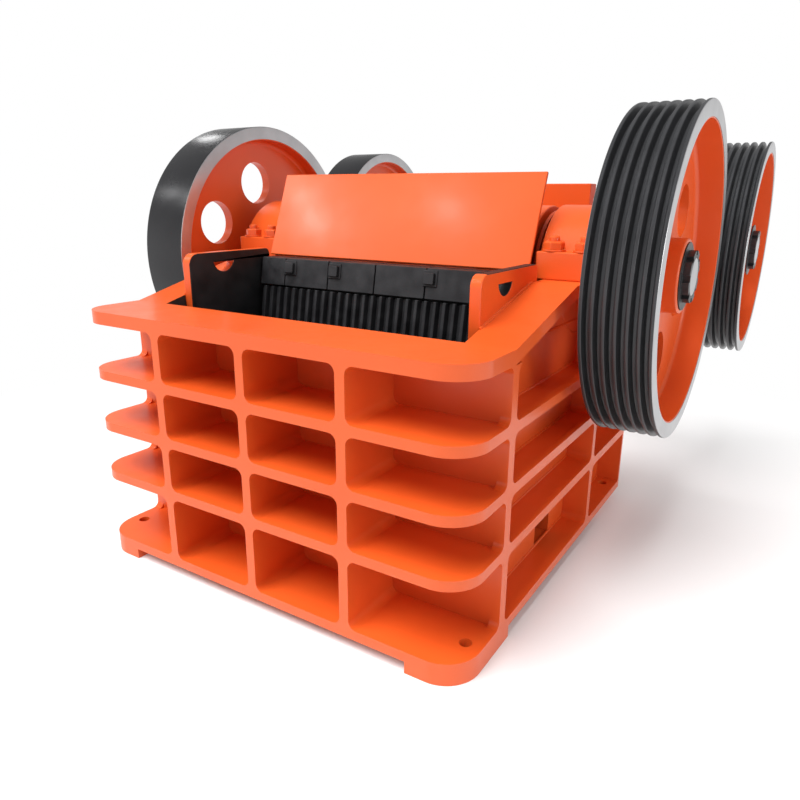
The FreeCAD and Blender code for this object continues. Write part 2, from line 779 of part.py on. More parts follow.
def lock_nut(depth, z, out_x):
    """Ring and notched round nut on the right-hand end of a shaft, in one piece."""
    x0 = out_x - hub_out_inset
    x1 = x0 + ring_t
    x2 = x1 + nut_t
    shape = rod(ring_r, x0, x1, depth, z).fuse(rod(nut_r, x1, x2, depth, z))
    for index in range(nut_notches):
        half = notch_w / 2
        notch = block(x1, x2 + 1, depth - half, depth + half, z + nut_r - notch_depth, z + nut_r + 5)
        notch.rotate(Vec(0, y_of(depth), z), Vec(1, 0, 0), index * 360 / nut_notches)
        shape = shape.cut(notch)
    shape = shape.cut(rod(thread_r + fit, x0 - 1, x2 + 1, depth, z))
    return shape.removeSplitter()


def seal_ring():
    """Right-hand ring on the shaft, between the swing jaw and the bearing housing."""
    gap = (housing_in_x - body_half_w - seal_t) / 2
    x0 = body_half_w + gap
    ring = rod(seal_r, x0, x0 + seal_t, shaft_d, shaft_z)
    return ring.cut(rod(journal_r + fit, x0 - 1, x0 + seal_t + 1, shaft_d, shaft_z))


# ---- rear arms ---------------------------------------------------------------------------------
def rear_arm():
    """Right-hand arm behind the frame: a tapering gusset with a top plate."""
    end = rear_shaft_d + arm_overrun
    under = rear_seat_z - arm_top_t
    points = [
        (frame_d, under - arm_root_h),
        (end, under - arm_tip_h),
        (end, under),
        (frame_d, under),
    ]
    x1 = side_in_x + arm_t
    gusset = side_profile(points, side_in_x, x1)
    plate = block(housing_in_x, housing_in_x + housing_l, frame_d, end, under, rear_seat_z)
    return gusset.fuse(plate).removeSplitter()


def rear_tie():
    """Cross beam between the two arms."""
    end = rear_shaft_d + arm_overrun
    under = rear_seat_z - arm_top_t
    return block(-side_in_x, side_in_x, end - tie_l, end, under - tie_h, under)


def main():
    os.makedirs("parts", exist_ok=True)
    save("base_flange_front", base_front())
    save("base_flange_right", base_side())
    save("base_flange_left", mirror_x(base_side()))
    save("base_flange_rear", base_rear())
    save("front_wall", front_wall())
    save("rear_wall", rear_wall())
    save("right_side_wall", side_wall())
    save("left_side_wall", mirror_x(side_wall()))
    save("front_shelves", front_shelves())
    save("right_side_shelves", side_shelves())
    save("left_side_shelves", mirror_x(side_shelves()))
    save("front_ribs", front_ribs())
    save("side_ribs", both_sides(side_ribs()))
    save("top_flange_front", top_front())
    save("top_plate_right", top_side())
    save("top_plate_left", mirror_x(top_side()))
    save("top_plate_rear", top_rear())
    save("bearing_cap_right", main_cap())
    save("bearing_cap_left", mirror_x(main_cap()))
    save("bearing_saddles", both_sides(main_saddle()))
    save("fixed_jaw_plate", fixed_jaw_plate())
    save("fixed_jaw_backing", fixed_jaw_backing())
    save("cheek_plate_right", cheek_plate())
    save("cheek_plate_left", mirror_x(cheek_plate()))
    save("toggle_seat", toggle_seat())
    save("toggle_plate", toggle_plate())
    save("rear_guard_plate", rear_guard())
    save("rear_arm_right", rear_arm())
    save("rear_arm_left", mirror_x(rear_arm()))
    save("rear_cross_tie", rear_tie())
    save("rear_bearing_right", rear_housing())
    save("rear_bearing_left", mirror_x(rear_housing()))
    save("swing_jaw_body", jaw_body())
    save("swing_jaw_plate", moving_jaw_plate())
    save("swing_jaw_blocks", jaw_blocks())
    save("guard_plate", guard_plate())
    save("guard_brackets", guard_brackets())
    save("eccentric_shaft", stepped_shaft(shaft_d, shaft_z, wheel_out_x, middle_r))
    save("grooved_flywheel", main_wheel(right_phase, True))
    save("plain_flywheel", mirror_x(main_wheel(left_phase, False)))
    save("shaft_lock_nuts", both_sides(lock_nut(shaft_d, shaft_z, wheel_out_x)))
    save("shaft_seal_rings", both_sides(seal_ring()))
    save("rear_shaft", stepped_shaft(rear_shaft_d, rear_shaft_z, rear_wheel_out_x, journal_r))
    save("rear_grooved_flywheel", rear_wheel(right_phase, True))
    save("rear_plain_flywheel", mirror_x(rear_wheel(left_phase, False)))
    save("rear_lock_nuts", both_sides(lock_nut(rear_shaft_d, rear_shaft_z, rear_wheel_out_x)))


main()
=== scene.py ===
"""Looks of the jaw crusher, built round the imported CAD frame. Metres; +Y is the rear, +Z is up."""

import json
import math

import bmesh
import bpy
from mathutils import Euler, Matrix, Vector, noise


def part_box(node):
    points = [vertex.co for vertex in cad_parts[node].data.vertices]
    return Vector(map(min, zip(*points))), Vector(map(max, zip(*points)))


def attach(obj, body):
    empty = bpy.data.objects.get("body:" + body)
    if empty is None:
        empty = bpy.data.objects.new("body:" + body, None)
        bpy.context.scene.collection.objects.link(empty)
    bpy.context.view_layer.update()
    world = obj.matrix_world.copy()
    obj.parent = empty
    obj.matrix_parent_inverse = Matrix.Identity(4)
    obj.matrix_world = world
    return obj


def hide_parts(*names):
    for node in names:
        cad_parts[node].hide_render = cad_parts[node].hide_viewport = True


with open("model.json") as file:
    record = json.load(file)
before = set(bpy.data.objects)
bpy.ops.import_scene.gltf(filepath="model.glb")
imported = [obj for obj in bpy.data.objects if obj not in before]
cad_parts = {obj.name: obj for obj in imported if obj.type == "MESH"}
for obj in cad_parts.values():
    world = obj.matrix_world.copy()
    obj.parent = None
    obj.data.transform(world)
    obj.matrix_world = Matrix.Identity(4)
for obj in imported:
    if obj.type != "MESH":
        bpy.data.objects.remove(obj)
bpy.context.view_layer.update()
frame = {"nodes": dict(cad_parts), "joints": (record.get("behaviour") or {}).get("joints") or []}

# ---- places, from the frame ------------------------------------------------------------------
wall_low, wall_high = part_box("front_wall")
side_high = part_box("right_side_wall")[1]
base_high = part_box("base_flange_front")[1]
flange_low, flange_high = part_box("top_flange_front")
cap_low, cap_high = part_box("bearing_cap_right")
cheek_low, cheek_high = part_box("cheek_plate_right")
block_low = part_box("swing_jaw_blocks")[0]
guard_low, guard_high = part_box("guard_plate")
backing_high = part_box("fixed_jaw_backing")[1]
rear_cap_low, rear_cap_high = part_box("rear_bearing_right")
rear_wall_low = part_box("rear_wall")[0]
arm_low, arm_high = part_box("rear_arm_right")
pivots = {joint["name"]: Vector(joint["pos_m"]) for joint in frame["joints"]}
main_axis = pivots["main_shaft_turn"]
rear_axis = pivots["rear_shaft_turn"]

WELDED_NODES = [
    "front_wall", "rear_wall", "right_side_wall", "left_side_wall", "base_flange_front",
    "base_flange_right", "base_flange_left", "base_flange_rear", "front_shelves", "right_side_shelves",
    "left_side_shelves", "front_ribs", "side_ribs", "top_flange_front", "top_plate_right",
    "top_plate_left", "top_plate_rear",
]

# ---- sizes that the frame's boxes don't give -------------------------------------------------
SHELF_T = 0.030
SKIN_MARGIN = 0.002         # faces this near the chamber's walls count as inside it
MERGE = 0.00002
FLAT_ANGLE = math.radians(0.6)
FILLET_R = 0.022
FILLET_L = 0.030
COVE_STEPS = 6
JAW_LEAN = math.radians(10)
RIM_W = 0.197
RIM_LINING = 0.004
WEB_T = 0.040
WEB_INSET = 0.092
HUB_OUT_INSET = 0.026
HUB_IN_REACH = 0.016
WHEEL_BORE = 0.066
GROOVES = 6
GROOVE_PITCH = 0.031
GROOVE_DEPTH = 0.024
GROOVE_TOP = 0.022
GROOVE_BOTTOM = 0.011
RIM_EDGE_R = 0.003
GROOVE_EDGE_R = 0.0025
SIDE_FACE_T = 0.0012        # a face of the rim this near its side counts as machined
LINING_INSET = 0.001
MAIN_WHEEL = {"inner": 0.450, "hub": 0.115, "circle": 0.281, "hole": 0.084}
REAR_WHEEL = {"inner": 0.384, "hub": 0.100, "circle": 0.240, "hole": 0.070}
WEB_HOLES = 6
RIGHT_PHASE = 43            # degrees to the first hole of a right wheel
LEFT_PHASE = 94
CUTTER_OVERRUN = 0.020
HUB_EDGE_R = 0.006
LINING_EDGE_R = 0.002
WEB_CORNER_R = 0.016
LATHE_STEPS = 144
ARC_STEPS = 5
CHEEK_HOLE_INSET = 0.236
CHEEK_HOLE_DROP = 0.021
CHEEK_HOLE_R = 0.048
FACE_MARGIN = 0.002

# ---- bolts and welds ---------------------------------------------------------------------------
NUT_ACROSS = 0.055
NUT_H = 0.024
WASHER_R = 0.036
WASHER_T = 0.006
STUD_R = 0.016
STUD_REACH = 0.012
STUD_POINT = 0.004
CAP_FOOT_H = 0.085
REAR_CAP_FOOT_H = 0.060
CAP_BOLT_X = (0.045, 0.142)
CAP_BOLT_INSET = 0.034
BLOCK_BOLT_X = (-0.373, -0.170, 0.218)
BLOCK_BOLT_RISE = 0.066
BLOCK_BOLT_HALF = 0.019
BLOCK_BOLT_REACH = 0.016
BLOCK_WASHER_HALF = 0.027
BLOCK_WASHER_REACH = 0.004
BLOCK_BOLT_SEAT = 0.006
BEAD_R = 0.005
BEAD_STEP = 0.008
BEAD_SIDES = 7
ARM_BEAD_X = (0.026, 0.076)
ARM_BEAD_DROP = 0.04
WING_SLOPE = 0.253          # rise of the side top plates towards the rear
CHEEK_BEAD_RUN = 0.43
CHEEK_BEAD_RISE = 0.109

# ---- stage ---------------------------------------------------------------------------------------
EYE = Vector((1.3024, -1.9959, 1.1887))
EYE_YAW = math.radians(32.13)
EYE_PITCH = math.radians(16.81)
EYE_ROLL = math.radians(0.46)
EYE_LENS = 30.19
ROOM_LEVEL = 0.46
MIRRORED_LEVEL = 0.35
HORIZON_LEVEL = 1.0
HORIZON_LOW = 0.05
HORIZON_HIGH = 0.40
SUN_TOWARDS = (-0.20, -0.43, 0.88)
SUN_STRENGTH = 4.4
SUN_WIDTH = 40
RIGHT_PANEL_PLACE = (4.6, -0.6, 1.7)
RIGHT_PANEL_TARGET = (0.8, 0.3, 0.8)
RIGHT_PANEL_SIZE = 1.8
RIGHT_PANEL_POWER = 52
FLOOR_HALF = 60
# Where the floor's painted glow starts and where it is full.
FLOOR_FADE_START = 0.6
FLOOR_FADE_END = 2.9
GLINT_DISTANCE = 2.5
GUARD_GLINTS = [(-0.40, 0.55), (-0.33, 0.25), (0.22, 0.42)]
GUARD_GLINT_SIZE = 0.16
GUARD_GLINT_POWER = 3.4
TREAD_GLINTS = [28, 62]
TREAD_GLINT_SIZE = 0.30
TREAD_GLINT_POWER = 2.0


# ---- materials ---------------------------------------------------------------------------------
NOISE_LOW = 0.3
NOISE_HIGH = 0.7


def new_material(name):
    """A new node material, with its nodes, links and shader."""
    material = bpy.data.materials.new(name)
    material.use_nodes = True
    nodes = material.node_tree.nodes
    return material, nodes, material.node_tree.links, nodes["Principled BSDF"]


def noise_node(nodes, links, scale, detail=4.0, rough=0.5):
    """Noise over the object's own coordinates, at a scale in features per metre."""
    place = nodes.new("ShaderNodeTexCoord")
    texture = nodes.new("ShaderNodeTexNoise")
    texture.inputs["Scale"].default_value = scale
    texture.inputs["Detail"].default_value = detail
    texture.inputs["Roughness"].default_value = rough
    links.new(place.outputs["Object"], texture.inputs["Vector"])
    return texture


def tint(nodes, links, source, low, high, shader):
    """Base colour that runs between two colours with the source."""
    ramp = nodes.new("ShaderNodeValToRGB")
    ramp.color_ramp.elements[0].position = NOISE_LOW
    ramp.color_ramp.elements[0].color = (*low, 1)
    ramp.color_ramp.elements[1].position = NOISE_HIGH
    ramp.color_ramp.elements[1].color = (*high, 1)
    links.new(source, ramp.inputs["Fac"])
    links.new(ramp.outputs["Color"], shader.inputs["Base Color"])


def range_node(nodes, links, source, low, high, from_low, from_high):
    """Value that runs from low to high while the source runs between its own two limits."""
    spread = nodes.new("ShaderNodeMapRange")
    spread.inputs["From Min"].default_value = from_low
    spread.inputs["From Max"].default_value = from_high
    spread.inputs["To Min"].default_value = low
    spread.inputs["To Max"].default_value = high
    links.new(source, spread.inputs["Value"])
    return spread


def bump_node(nodes, links, source, shader, distance, strength):
    bump = nodes.new("ShaderNodeBump")
    bump.inputs["Distance"].default_value = distance
    bump.inputs["Strength"].default_value = strength
    links.new(source, bump.inputs["Height"])
    links.new(bump.outputs["Normal"], shader.inputs["Normal"])


def paint(name, low, high, rough_low, rough_high, coat):
    """Sprayed enamel: a slight change of tone, orange-peel bump and a clear coat."""
    material, nodes, links, shader = new_material(name)
    tone = noise_node(nodes, links, 3.0)
    tint(nodes, links, tone.outputs["Fac"], low, high, shader)
    gloss = noise_node(nodes, links, 14.0)
    rough = range_node(nodes, links, gloss.outputs["Fac"], rough_low, rough_high, NOISE_LOW, NOISE_HIGH)
    links.new(rough.outputs["Result"], shader.inputs["Roughness"])
    peel = noise_node(nodes, links, 160.0, 2.0)
    bump_node(nodes, links, peel.outputs["Fac"], shader, 0.0002, 0.2)
    shader.inputs["Coat Weight"].default_value = coat
    shader.inputs["Coat Roughness"].default_value = 0.16
    return material


def rough_metal(name, low, high, metallic, rough_low, rough_high, scale, distance):
    """Cast or rolled metal with a grainy surface."""
    material, nodes, links, shader = new_material(name)
    tone = noise_node(nodes, links, scale * 0.3, 6.0)
    tint(nodes, links, tone.outputs["Fac"], low, high, shader)
    gloss = noise_node(nodes, links, scale * 0.6, 5.0)
    rough = range_node(nodes, links, gloss.outputs["Fac"], rough_low, rough_high, NOISE_LOW, NOISE_HIGH)
    links.new(rough.outputs["Result"], shader.inputs["Roughness"])
    grain = noise_node(nodes, links, scale, 6.0, 0.6)
    bump_node(nodes, links, grain.outputs["Fac"], shader, distance, 0.6)
    shader.inputs["Metallic"].default_value = metallic
    return material


def turned_metal(name, low, high, rough):
    """Machined metal with fine rings about the X axis."""
    material, nodes, links, shader = new_material(name)
    place = nodes.new("ShaderNodeTexCoord")
    wave = nodes.new("ShaderNodeTexWave")
    wave.wave_type = "RINGS"
    wave.rings_direction = "X"
    wave.inputs["Scale"].default_value = 120.0
    wave.inputs["Distortion"].default_value = 1.5
    links.new(place.outputs["Object"], wave.inputs["Vector"])
    tone = noise_node(nodes, links, 9.0)
    tint(nodes, links, tone.outputs["Fac"], low, high, shader)
    bump_node(nodes, links, wave.outputs["Fac"], shader, 0.0001, 0.15)
    shader.inputs["Metallic"].default_value = 0.85
    shader.inputs["Roughness"].default_value = rough
    return material


orange = paint("orange_enamel", (0.690, 0.094, 0.014), (0.735, 0.108, 0.018), 0.32, 0.40, coat=0.12)
# A darker copy of the orange enamel: painted shade for the seal rings in their recess and for the jaw
# backing inside the chamber.
shaded_orange = paint("orange_in_painted_shade", (0.40, 0.046, 0.010), (0.48, 0.063, 0.013), 0.40, 0.52, coat=0.05)
tread_black = rough_metal(
    "dark_tread", (0.040, 0.041, 0.044), (0.050, 0.051, 0.055),
    metallic=0.35, rough_low=0.30, rough_high=0.36, scale=60.0, distance=0.0002)
nut_black = rough_metal(
    "black_oxide", (0.020, 0.020, 0.022), (0.045, 0.045, 0.048),
    metallic=0.3, rough_low=0.30, rough_high=0.45, scale=90.0, distance=0.0003)
manganese = rough_metal(
    "manganese_casting", (0.016, 0.016, 0.018), (0.040, 0.040, 0.043),
    metallic=0.25, rough_low=0.36, rough_high=0.58, scale=75.0, distance=0.0011)
polished_tread = rough_metal(
    "polished_tread", (0.018, 0.018, 0.020), (0.022, 0.022, 0.024),
    metallic=0.35, rough_low=0.24, rough_high=0.28, scale=20.0, distance=0.00005)
# Near-black paint for faces deep inside the chamber: painted shade where the orange frame and castings fall
# into shadow.
chamber_shade = rough_metal(
    "chamber_painted_shade", (0.010, 0.008, 0.007), (0.024, 0.018, 0.016),
    metallic=0.0, rough_low=0.55, rough_high=0.75, scale=30.0, distance=0.0003)
# Dark wear-plate colour for the cheek faces towards the chamber, also used as painted shade inside the
# right cheek's lifting hole.
wear_plate_black_and_hole_shade = rough_metal(
    "rolled_wear_plate_and_hole_shade", (0.010, 0.010, 0.011), (0.024, 0.024, 0.026),
    metallic=0.2, rough_low=0.42, rough_high=0.6, scale=40.0, distance=0.0003)
machined = turned_metal("machined_face", (0.42, 0.42, 0.43), (0.52, 0.52, 0.53), rough=0.32)
steel = turned_metal("bright_steel", (0.42, 0.42, 0.43), (0.55, 0.55, 0.56), rough=0.32)


# ---- making and dressing pieces ------------------------------------------------------------------
def piece(name, mesh, body, slot_name, *materials):
    """Object from a mesh, riding on a body, with its materials and smooth shading between sharp edges."""
    obj = bpy.data.objects.new(name, mesh)
    bpy.context.scene.collection.objects.link(obj)
    for material in materials:
        mesh.materials.append(material)
    for polygon in mesh.polygons:
        polygon.use_smooth = True
    mesh.set_sharp_from_angle(angle=math.radians(38))
    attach(obj, body)
    return obj


def mesh_from(bm, name):
    """Finished mesh of a bmesh, with its normals facing outwards."""
    bmesh.ops.recalc_face_normals(bm, faces=bm.faces)
    mesh = bpy.data.meshes.new(name)
    bm.to_mesh(mesh)
    bm.free()
    return mesh


def soften(obj, width, segments=2, angle=32):
    """Rounded edges and even normals."""
    bevel = obj.modifiers.new("rounded_edges", "BEVEL")
    bevel.width = width
    bevel.segments = segments
    bevel.limit_method = "ANGLE"
    bevel.angle_limit = math.radians(angle)
    bevel.use_clamp_overlap = True
    normals = obj.modifiers.new("even_normals", "WEIGHTED_NORMAL")
    normals.keep_sharp = False
    return obj


def dress(node, material, width=0.002, segments=2):
    """Give a CAD node its material and rounded edges; its own vertices stay as they are."""
    obj = frame["nodes"][node]
    obj.data.materials.clear()
    obj.data.materials.append(material)
    for polygon in obj.data.polygons:
        polygon.material_index = 0
    weld = obj.modifiers.new("joined_faces", "WELD")
    weld.merge_threshold = MERGE
    flat = obj.modifiers.new("whole_faces", "DECIMATE")
    flat.decimate_type = "DISSOLVE"
    flat.angle_limit = FLAT_ANGLE
    return soften(obj, width, segments)


def box_into(bm, low, high, turn):
    """Add a box between two corners, turned about its centre."""
    made = bmesh.ops.create_cube(bm, size=1)["verts"]
    centre = (Vector(low) + Vector(high)) / 2
    size = Vector(high) - Vector(low)
    place = Matrix.Translation(centre) @ turn @ Matrix.Diagonal((*size, 1))
    bmesh.ops.transform(bm, matrix=place, verts=made)


def ring_into(bm, outline, centre, turn, steps):
    """Sweep an outline of (distance along, radius) points round X, turn it, and add it with closed ends."""
    rings = []
    for along, radius in outline:
        ring = []
        for step in range(steps):
            angle = 2 * math.pi * step / steps
            point = turn @ Vector((along, radius * math.cos(angle), radius * math.sin(angle)))
            ring.append(bm.verts.new(point + Vector(centre)))
        rings.append(ring)
    for first, second in zip(rings[:-1], rings[1:]):
        for step in range(steps):
            after = (step + 1) % steps
            bm.faces.new((first[step], first[after], second[after], second[step]))
    bm.faces.new(rings[0])
    bm.faces.new(rings[-1])


UNTURNED = Matrix.Identity(4)
UPRIGHT = Euler((0, -math.pi / 2, 0)).to_matrix().to_4x4()


def bolt_into(bm, foot):
    """Hexagon nut standing on a washer, with the end of its stud above it."""
    ring_into(bm, [(0, WASHER_R), (WASHER_T, WASHER_R)], foot, UPRIGHT, 28)
    base = Vector(foot) + Vector((0, 0, WASHER_T))
    chamfer = NUT_ACROSS * 0.08
    corner = NUT_ACROSS / math.sqrt(3)
    nut = [(0, corner), (NUT_H - chamfer, corner), (NUT_H, corner - chamfer)]
    ring_into(bm, nut, base, UPRIGHT, 6)
    end = NUT_H + STUD_REACH
    stud = [(0, STUD_R), (end, STUD_R), (end + STUD_POINT, STUD_R - STUD_POINT)]
    ring_into(bm, stud, base, UPRIGHT, 20)


def corner_arc(before, corner, after, radius):
    """Points of a rounded corner of an outline."""
    a = (Vector(before) - Vector(corner)).normalized()
    b = (Vector(after) - Vector(corner)).normalized()
    half = a.angle(b) / 2
    if radius <= 0 or half > math.radians(87):
        return [tuple(corner)]
    reach = radius / math.tan(half)
    centre = Vector(corner) + (a + b).normalized() * (radius / math.sin(half))
    start = Vector(corner) + a * reach - centre
    end = Vector(corner) + b * reach - centre
    points = []
    for step in range(ARC_STEPS + 1):
        mixed = start.lerp(end, step / ARC_STEPS).normalized()
        points.append(tuple(centre + mixed * radius))
    return points


def rounded(outline):
    """Closed outline of (x, radius, corner radius) points with its corners rounded."""
    points = []
    count = len(outline)
    for index, (x, radius, corner) in enumerate(outline):
        before = outline[index - 1][:2]
        after = outline[(index + 1) % count][:2]
        points.extend(corner_arc(before, (x, radius), after, corner))
    return points


def lathe(name, outline, axis):
    """Mesh of a closed outline of (x, radius) points turned about an axis along X."""
    bm = bmesh.new()
    rings = []
    for step in range(LATHE_STEPS):
        angle = 2 * math.pi * step / LATHE_STEPS
        ring = []
        for x, radius in outline:
            place = (x, axis.y + radius * math.cos(angle), axis.z + radius * math.sin(angle))
            ring.append(bm.verts.new(place))
        rings.append(ring)
    count = len(outline)
    for step in range(LATHE_STEPS):
        first = rings[step]
        second = rings[(step + 1) % LATHE_STEPS]
        for index in range(count):
            after = (index + 1) % count
            bm.faces.new((first[index], first[after], second[after], second[index]))
    return mesh_from(bm, name)


# ---- flywheels -----------------------------------------------------------------------------------
def rim_outline(radius, inner, x0, x1, grooved):
    """Section of the rim: side faces, bore and tread, with rounded groove edges."""
    points = [(x0, inner, 0.0), (x0, radius, RIM_EDGE_R)]
    if grooved:
        first = (x0 + x1) / 2 - (GROOVES - 1) * GROOVE_PITCH / 2
        for index in range(GROOVES):
            middle = first + index * GROOVE_PITCH
            points.append((middle - GROOVE_TOP / 2, radius, GROOVE_EDGE_R))
            points.append((middle - GROOVE_BOTTOM / 2, radius - GROOVE_DEPTH, RIM_EDGE_R))
            points.append((middle + GROOVE_BOTTOM / 2, radius - GROOVE_DEPTH, RIM_EDGE_R))
            points.append((middle + GROOVE_TOP / 2, radius, GROOVE_EDGE_R))
    points.append((x1, radius, RIM_EDGE_R))
    points.append((x1, inner, 0.0))
    return rounded(points)


def rim_ends(node, side):
    """Distances from the middle of the machine to the inner and outer side of a wheel's rim."""
    low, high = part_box(node)
    out_x = high.x if side > 0 else -low.x
    return out_x - RIM_W, out_x


def wheel_rim(name, node, body, axis, inner, side):
    """Dark tread with bright machined side faces; the right wheels are grooved, the left ones polished."""
    low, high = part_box(node)
    radius = (high.z - low.z) / 2
    x0, out_x = rim_ends(node, side)
    grooved = side > 0
    outline = [(x * side, r) for x, r in rim_outline(radius, inner + RIM_LINING, x0, out_x, grooved)]
    mesh = lathe(name, outline, axis)
    for polygon in mesh.polygons:
        on_side = abs(abs(polygon.center.x) - (out_x + x0) / 2) > RIM_W / 2 - SIDE_FACE_T
        polygon.material_index = 1 if on_side else 0
    rim = piece(name, mesh, body, "dark_cast_iron", tread_black if grooved else polished_tread, machined)
    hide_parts(node)


def web_outline(x0, out_x, inner, hub):
    """Section of the wheel's painted inside: hub, web and rim lining."""
    web_out = out_x - WEB_INSET
    web_in = web_out - WEB_T
    skin = inner + RIM_LINING
    hub_in = x0 - HUB_IN_REACH
    hub_out = out_x - HUB_OUT_INSET
    lining_in = x0 + LINING_INSET
    lining_out = out_x - LINING_INSET
    return rounded([
        (hub_in, WHEEL_BORE, 0.0),
        (hub_in, hub, HUB_EDGE_R),
        (web_in, hub, WEB_CORNER_R),
        (web_in, inner, WEB_CORNER_R),
        (lining_in, inner, LINING_EDGE_R),
        (lining_in, skin, 0.0),
        (lining_out, skin, 0.0),
        (lining_out, inner, LINING_EDGE_R),
        (web_out, inner, WEB_CORNER_R),
        (web_out, hub, WEB_CORNER_R),
        (hub_out, hub, HUB_EDGE_R),
        (hub_out, WHEEL_BORE, 0.0),
    ])


def wheel_web(name, node, body, axis, sizes, side):
    """Painted inside of a wheel, with its ring of round holes cut through the web."""
    x0, out_x = rim_ends(node, side)
    outline = web_outline(x0, out_x, sizes["inner"], sizes["hub"])
    circle = sizes["circle"]
    hole = sizes["hole"]
    cut_from = out_x - WEB_INSET - WEB_T - CUTTER_OVERRUN
    cut_length = WEB_T + 2 * CUTTER_OVERRUN
    phase = math.radians(RIGHT_PHASE if side > 0 else LEFT_PHASE)
    mesh = lathe(name, [(x * side, r) for x, r in outline], axis)
    solid = bpy.data.objects.new(name + "_solid", mesh)
    bpy.context.scene.collection.objects.link(solid)
    cutters = bmesh.new()
    for index in range(WEB_HOLES):
        angle = phase + 2 * math.pi * index / WEB_HOLES
        y = axis.y + circle * math.cos(angle)
        z = axis.z + circle * math.sin(angle)
        ring_into(cutters, [(0, hole), (cut_length * side, hole)], (cut_from * side, y, z), UNTURNED, 56)
    tool = bpy.data.objects.new(name + "_tool", mesh_from(cutters, name + "_tool"))
    bpy.context.scene.collection.objects.link(tool)
    cut = solid.modifiers.new("holes", "BOOLEAN")
    cut.object = tool
    cut.operation = "DIFFERENCE"
    cut.solver = "EXACT"
    shaped = bpy.data.meshes.new_from_object(solid.evaluated_get(bpy.context.evaluated_depsgraph_get()))
    bpy.data.objects.remove(solid)
    bpy.data.objects.remove(tool)
    web = piece(name, shaped, body, "orange_paint")
    shaped.materials.clear()
    shaped.materials.append(orange)
    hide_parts(node)
    soften(web, 0.0025, 2, 40)


def wheel(prefix, node, body, axis, sizes, side):
    """One wheel, made of two pieces; side is 1 on the right and -1 on the left."""
    wheel_rim(prefix + "_rim", node, body, axis, sizes["inner"], side)
    wheel_web(prefix + "_web", node, body, axis, sizes, side)


def all_wheels():
    wheel("drive_wheel", "grooved_flywheel", "main_shaft", main_axis, MAIN_WHEEL, 1)
    wheel("balance_wheel", "plain_flywheel", "main_shaft", main_axis, MAIN_WHEEL, -1)
    wheel("rear_drive_wheel", "rear_grooved_flywheel", "rear_wheelset", rear_axis, REAR_WHEEL, 1)
    wheel("rear_balance_wheel", "rear_plain_flywheel", "rear_wheelset", rear_axis, REAR_WHEEL, -1)


# ---- CAD nodes that stay ---------------------------------------------------------------------------
def inner_cheek(node, inner_x, shaded_hole):
    """Cheek plate: painted outside, bare and dark on the face towards the chamber; with shaded_hole, its
    lifting hole is lined with the dark plate colour as painted shade.
    """
    obj = dress(node, orange, 0.004, 3)
    obj.data.materials.append(wear_plate_black_and_hole_shade)
    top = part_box(node)[1]
    hole = Vector((0, top.y - CHEEK_HOLE_INSET, top.z - CHEEK_HOLE_DROP))
    for polygon in obj.data.polygons:
        flat = abs(polygon.normal.x) > 0.9
        facing = flat and abs(abs(polygon.center.x) - inner_x) < FACE_MARGIN
        away = (polygon.center - hole).yz.length
        # Painted shade: the lifting hole's inside faces take the dark plate colour when shaded_hole is set.
        lining = shaded_hole and not flat and away < CHEEK_HOLE_R + FACE_MARGIN
        polygon.material_index = 1 if facing or lining else 0


def dress_frame():
    for node in ("rear_arm_right", "rear_arm_left", "rear_cross_tie", "rear_guard_plate", "guard_plate",
                 "guard_brackets"):
        dress(node, orange, 0.003, 3)
    for node in ("bearing_cap_right", "bearing_cap_left", "rear_bearing_right", "rear_bearing_left",
                 "bearing_saddles"):
        dress(node, orange, 0.005, 3)
    casting = dress("swing_jaw_body", orange, 0.005, 3)
    casting.data.materials.append(chamber_shade)
    # The casting's faces below the top flange get the near-black paint: painted shade inside the chamber.
    for polygon in casting.data.polygons:
        polygon.material_index = 1 if polygon.center.z < flange_low.z else 0
    # The toggle seat is painted near-black all over: painted shade deep in the chamber.
    dress("toggle_seat", chamber_shade, 0.003, 3)
    for node in ("fixed_jaw_plate", "swing_jaw_plate"):
        dress(node, manganese, 0.0022, 2)
    dress("swing_jaw_blocks", manganese, 0.003, 3)
    # The jaw backing gets the darker orange: painted shade inside the chamber.
    dress("fixed_jaw_backing", shaded_orange)
    dress("toggle_plate", nut_black)
    for node in ("shaft_lock_nuts", "rear_lock_nuts"):
        dress(node, nut_black, 0.0015, 2)
    for node in ("eccentric_shaft", "rear_shaft"):
        dress(node, steel, 0.003, 3)
    # The seal rings get the darker orange: painted shade in the recess between barrel and bearing cap.
    dress("shaft_seal_rings", shaded_orange, 0.002, 2)
    # Only the right cheek's lifting hole gets painted shade.
    inner_cheek("cheek_plate_right", cheek_low.x, True)
    inner_cheek("cheek_plate_left", cheek_low.x, False)


# ---- bolts -----------------------------------------------------------------------------------------
def bearing_bolts(name, low, high, foot_h):
    """Four nuts on studs on the foot of each bearing of a pair; low and high are the right one's box."""
    bm = bmesh.new()
    top = low.z + foot_h
    for side in (-1, 1):
        for along in CAP_BOLT_X:
            for y in (low.y + CAP_BOLT_INSET, high.y - CAP_BOLT_INSET):
                bolt_into(bm, ((low.x + along) * side, y, top))
    bolts = piece(name, mesh_from(bm, name), "frame", "orange_paint", orange)
    soften(bolts, 0.0012, 2, 30)


def block_bolts():
    """Square-headed bolts on the smooth blocks of the swing jaw."""
    bm = bmesh.new()
    lean = Matrix.Rotation(-JAW_LEAN, 4, "X")
    z = block_low.z + BLOCK_BOLT_RISE
    y = block_low.y + BLOCK_BOLT_RISE * math.tan(JAW_LEAN)
    seat = y + BLOCK_BOLT_SEAT
    for x in BLOCK_BOLT_X:
        for half, reach in ((BLOCK_BOLT_HALF, BLOCK_BOLT_REACH), (BLOCK_WASHER_HALF, BLOCK_WASHER_REACH)):
            box_into(bm, (x - half, y - reach, z - half), (x + half, seat, z + half), lean)
    bolts = piece("block_bolts", mesh_from(bm, "block_bolts"), "swing_jaw", "manganese_steel", manganese)
    soften(bolts, 0.003, 3, 30)


